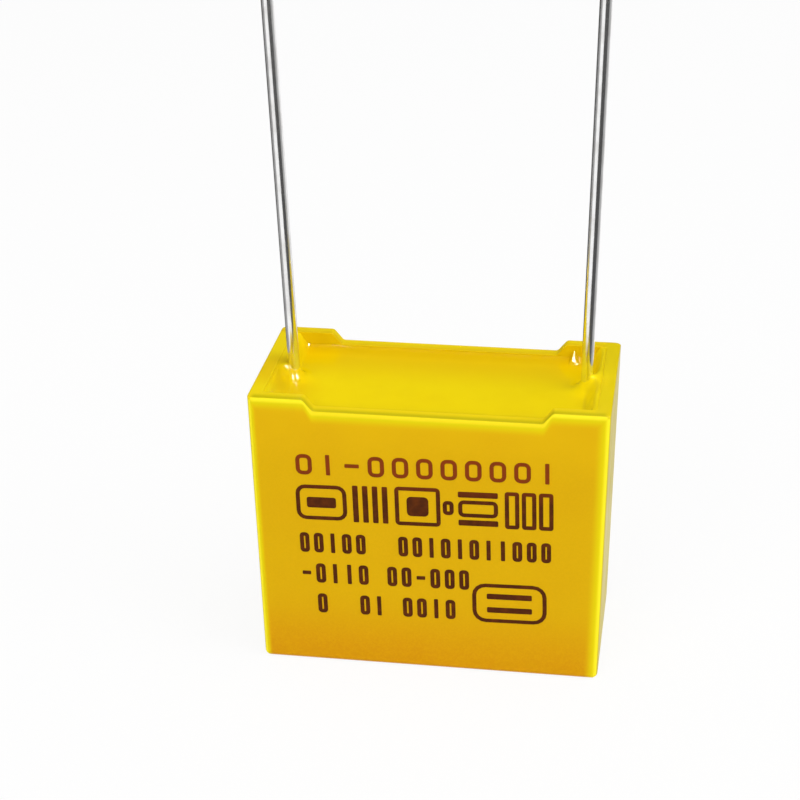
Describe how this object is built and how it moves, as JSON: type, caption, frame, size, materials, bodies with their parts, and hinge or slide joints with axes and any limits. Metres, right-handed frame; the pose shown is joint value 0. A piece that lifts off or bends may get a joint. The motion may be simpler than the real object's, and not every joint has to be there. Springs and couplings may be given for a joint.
{
  "type": "box film capacitor",
  "caption": "Radial box film capacitor: a flattened film winding with sprayed metal ends, potted in a drafted plastic case with stand-off feet, and wire leads that lean slightly outwards.",
  "frame": {"origin": "centre of the outer face of the case's closed end", "axes": "+Z along the leads, out of the open end; +X from the left lead to the right one, along the case's width; the face that carries the marking is at -Y"},
  "size_m": [0.018, 0.009, 0.0352],
  "materials": {
    "case_plastic": "satin",
    "epoxy": "gloss",
    "metallised_film": "gloss",
    "sprayed_metal": "matte",
    "tinned_wire": "polished"
  },
  "bodies": {
    "root": {"case": "case_plastic", "potting_resin": "epoxy", "film_winding": "metallised_film", "end_spray_left": "sprayed_metal", "end_spray_right": "sprayed_metal", "lead_left": "tinned_wire", "lead_right": "tinned_wire"}
  },
  "joints": []
}
